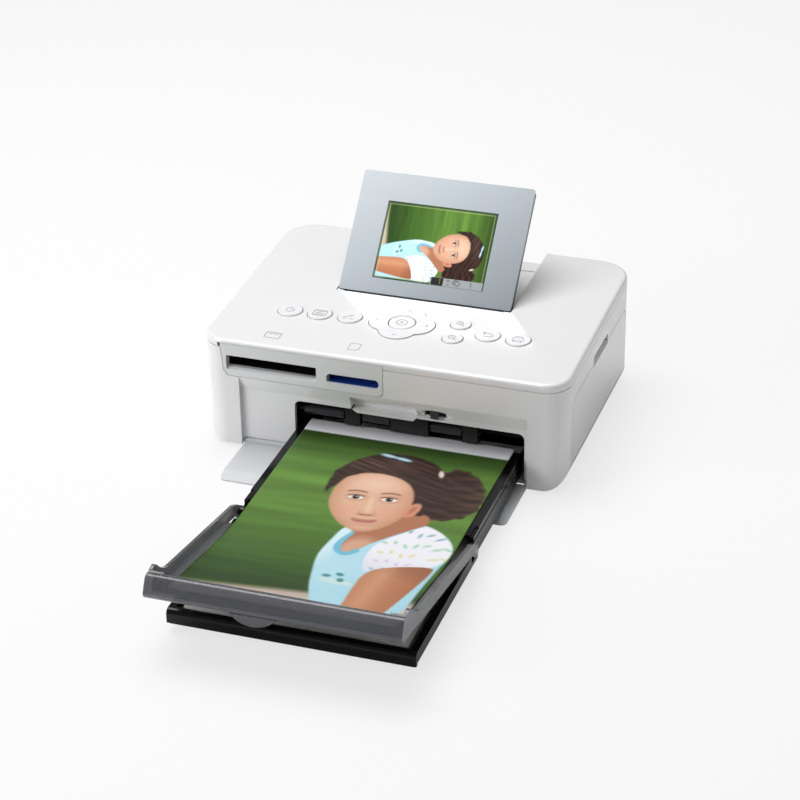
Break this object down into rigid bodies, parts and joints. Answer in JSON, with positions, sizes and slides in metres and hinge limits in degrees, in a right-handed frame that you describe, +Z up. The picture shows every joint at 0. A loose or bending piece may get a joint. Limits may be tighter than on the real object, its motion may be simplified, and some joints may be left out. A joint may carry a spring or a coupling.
{
  "type": "compact photo printer",
  "caption": "Small white desktop photo printer with a tilting display, front card slots, a front paper cassette with a raised smoke cover, and a side ink door.",
  "frame": {"origin": "On the table, under the middle of the whole object's box with the cassette in and its cover open.", "axes": "+Z up. +X to the right of a person facing the front. +Y to the back, away from the paper cassette."},
  "size_m": [0.178, 0.3004, 0.1036],
  "materials": {
    "white_shell": "glossy white moulding",
    "pale_grey": "satin light grey moulding",
    "frosted_panel": "frosted translucent white",
    "silver_glass": "clear pane over a silver-blue gradient",
    "screen": "lit colour screen",
    "grey_shell": "satin dark grey",
    "black_gloss": "glossy black",
    "black_satin": "satin black",
    "smoke_clear": "smoke-tinted translucent plastic",
    "switch_grey": "ribbed dark grey",
    "key_white": "glossy white keys with light grey signs",
    "rubber_dark": "dark grey rubber",
    "rubber_pale": "translucent pale rubber",
    "steel": "plated sheet steel",
    "shaft_steel": "ground steel",
    "nylon": "natural white acetal",
    "brass": "sintered brass",
    "blue_plastic": "blue moulding",
    "board_green": "solder-masked board",
    "aluminium": "extruded aluminium",
    "ceramic": "glazed ceramic",
    "ribbon_dark": "wound dye film",
    "motor_grey": "plated can",
    "paper_white": "white coated paper",
    "print": "glossy colour print",
    "roller_grey": "light grey rollers"
  },
  "bodies": {
    "case": {"lower_case": "white_shell", "top_cover": "white_shell", "card_panel": "frosted_panel", "wide_card_reader": "black_satin", "narrow_card_reader": "blue_plastic", "rubber_feet": "rubber_dark", "case_screws": "shaft_steel", "display_hinge_pins": "shaft_steel", "key_mat": "rubber_pale", "key_board": "board_green", "left_side_plate": "steel", "right_side_plate": "steel", "chassis_base": "steel", "gear_bracket": "steel", "feed_motor": "motor_grey", "roller_bushes": "brass", "exit_guide": "black_satin", "paper_guide": "black_satin", "head_pivot_shaft": "shaft_steel", "ink_cassette": "grey_shell", "main_board": "board_green", "power_socket": "black_satin", "usb_socket": "steel"},
    "cassette_door": {"cassette_door": "pale_grey"},
    "format_switch": {"format_switch": "switch_grey"},
    "ink_door": {"ink_door": "white_shell"},
    "display": {"display_glass": "silver_glass", "display_screen": "screen", "display_shell": "grey_shell"},
    "power_key": {"power_key": "key_white"},
    "menu_key": {"menu_key": "key_white"},
    "edit_key": {"edit_key": "key_white"},
    "back_key": {"back_key": "key_white"},
    "print_key": {"print_key": "key_white"},
    "zoom_in_key": {"zoom_in_key": "key_white"},
    "zoom_out_key": {"zoom_out_key": "key_white"},
    "ok_key": {"ok_key": "key_white"},
    "pad_boot": {"pad_boot": "rubber_dark"},
    "direction_pad": {"direction_pad": "key_white"},
    "motor_rotor": {"motor_pinion": "brass"},
    "grip_roller": {"grip_roller": "shaft_steel", "grip_gear": "nylon"},
    "pinch_roller": {"pinch_roller": "rubber_dark"},
    "pickup_roller": {"pickup_roller": "rubber_dark", "pickup_gear": "nylon"},
    "platen_roller": {"platen_roller": "rubber_dark"},
    "exit_rollers": {"exit_rollers": "roller_grey"},
    "print_head": {"head_arm": "steel", "thermal_head": "ceramic", "heat_sink": "aluminium"},
    "supply_spool": {"supply_spool": "ribbon_dark"},
    "takeup_spool": {"takeup_spool": "ribbon_dark", "takeup_gear": "nylon"},
    "cassette": {"cassette_base": "black_gloss", "cassette_inner_cover": "black_gloss", "cassette_hinge_pins": "shaft_steel", "paper_stack": "paper_white", "printed_sheet": "print"},
    "outer_cover": {"cassette_outer_cover": "smoke_clear"}
  },
  "joints": [
    {"name": "display_tilt", "type": "hinge", "parent": "case", "child": "display", "pos_m": [0.001, 0.08749, 0.05683], "axis": [1, 0, 0], "range_deg": [-45.2, 0]},
    {"name": "power_key_press", "type": "slide", "parent": "case", "child": "power_key", "axis": [0, -0.0299, 0.9996], "range_m": [-0.0006, 0], "stiffness_N_per_m": 400},
    {"name": "menu_key_press", "type": "slide", "parent": "case", "child": "menu_key", "axis": [0, -0.0299, 0.9996], "range_m": [-0.0006, 0], "stiffness_N_per_m": 400},
    {"name": "edit_key_press", "type": "slide", "parent": "case", "child": "edit_key", "axis": [0, -0.0299, 0.9996], "range_m": [-0.0006, 0], "stiffness_N_per_m": 400},
    {"name": "back_key_press", "type": "slide", "parent": "case", "child": "back_key", "axis": [0, -0.0299, 0.9996], "range_m": [-0.0006, 0], "stiffness_N_per_m": 400},
    {"name": "print_key_press", "type": "slide", "parent": "case", "child": "print_key", "axis": [0, -0.0299, 0.9996], "range_m": [-0.0006, 0], "stiffness_N_per_m": 400},
    {"name": "zoom_in_key_press", "type": "slide", "parent": "case", "child": "zoom_in_key", "axis": [0, -0.0299, 0.9996], "range_m": [-0.0006, 0], "stiffness_N_per_m": 400},
    {"name": "zoom_out_key_press", "type": "slide", "parent": "case", "child": "zoom_out_key", "axis": [0, -0.0299, 0.9996], "range_m": [-0.0006, 0], "stiffness_N_per_m": 400},
    {"name": "ok_key_press", "type": "slide", "parent": "case", "child": "ok_key", "axis": [0, -0.0299, 0.9996], "range_m": [-0.0006, 0], "stiffness_N_per_m": 400},
    {"name": "pad_rock_front_back", "type": "hinge", "parent": "case", "child": "pad_boot", "pos_m": [-0.0013, 0.06117, 0.05384], "axis": [1, 0, 0], "range_deg": [-1.4, 1.4], "stiffness_Nm_per_rad": 0.02},
    {"name": "pad_rock_left_right", "type": "hinge", "parent": "pad_boot", "child": "direction_pad", "pos_m": [-0.0013, 0.06114, 0.05479], "axis": [0, 0.9996, 0.0299], "range_deg": [-1.4, 1.4], "stiffness_Nm_per_rad": 0.02},
    {"name": "format_switch_slide", "type": "slide", "parent": "case", "child": "format_switch", "axis": [1, 0, 0], "range_m": [-0.003, 0.003]},
    {"name": "ink_door_hinge", "type": "hinge", "parent": "case", "child": "ink_door", "pos_m": [0.0872, 0.08507, 0.0108], "axis": [0, 1, 0], "range_deg": [0, 80]},
    {"name": "cassette_door_hinge", "type": "hinge", "parent": "case", "child": "cassette_door", "pos_m": [0, 0.02577, 0.0029], "axis": [-1, 0, 0], "range_deg": [0, 1.2]},
    {"name": "cassette_slide", "type": "slide", "parent": "case", "child": "cassette", "axis": [0, -1, 0], "range_m": [0, 0.06]},
    {"name": "outer_cover_hinge", "type": "hinge", "parent": "cassette", "child": "outer_cover", "pos_m": [0.013, -0.04893, 0.011], "axis": [-1, 0, 0], "range_deg": [0, 115], "deforming": ["printed_sheet"]},
    {"name": "grip_roller_spin", "type": "hinge", "parent": "case", "child": "grip_roller", "pos_m": [0, 0.06457, 0.02], "axis": [1, 0, 0], "continuous": true},
    {"name": "motor_spin", "type": "hinge", "parent": "case", "child": "motor_rotor", "pos_m": [-0.06, 0.08111, 0.01708], "axis": [1, 0, 0], "continuous": true},
    {"name": "pickup_roller_spin", "type": "hinge", "parent": "case", "child": "pickup_roller", "pos_m": [0, 0.04462, 0.0185], "axis": [1, 0, 0], "continuous": true},
    {"name": "takeup_spool_spin", "type": "hinge", "parent": "case", "child": "takeup_spool", "pos_m": [0, 0.08007, 0.03561], "axis": [1, 0, 0], "continuous": true},
    {"name": "pinch_roller_spin", "type": "hinge", "parent": "case", "child": "pinch_roller", "pos_m": [0, 0.06457, 0.0281], "axis": [1, 0, 0], "continuous": true},
    {"name": "platen_roller_spin", "type": "hinge", "parent": "case", "child": "platen_roller", "pos_m": [0, 0.10107, 0.0175], "axis": [1, 0, 0], "continuous": true},
    {"name": "exit_rollers_spin", "type": "hinge", "parent": "case", "child": "exit_rollers", "pos_m": [0, 0.03237, 0.0216], "axis": [1, 0, 0], "continuous": true},
    {"name": "supply_spool_spin", "type": "hinge", "parent": "case", "child": "supply_spool", "pos_m": [0, 0.12107, 0.03561], "axis": [1, 0, 0], "continuous": true},
    {"name": "print_head_lower", "type": "hinge", "parent": "case", "child": "print_head", "pos_m": [0.013, 0.13607, 0.048], "axis": [1, 0, 0], "range_deg": [0, 5.6], "stiffness_Nm_per_rad": 0.4, "springref_deg": -11.46}
  ],
  "couplings": [
    {"joint": "motor_spin", "follows": "grip_roller_spin", "ratio": -2.5},
    {"joint": "pickup_roller_spin", "follows": "grip_roller_spin", "ratio": -1.5},
    {"joint": "takeup_spool_spin", "follows": "grip_roller_spin", "ratio": -1.2},
    {"joint": "pinch_roller_spin", "follows": "grip_roller_spin", "ratio": -1.6667}
  ]
}
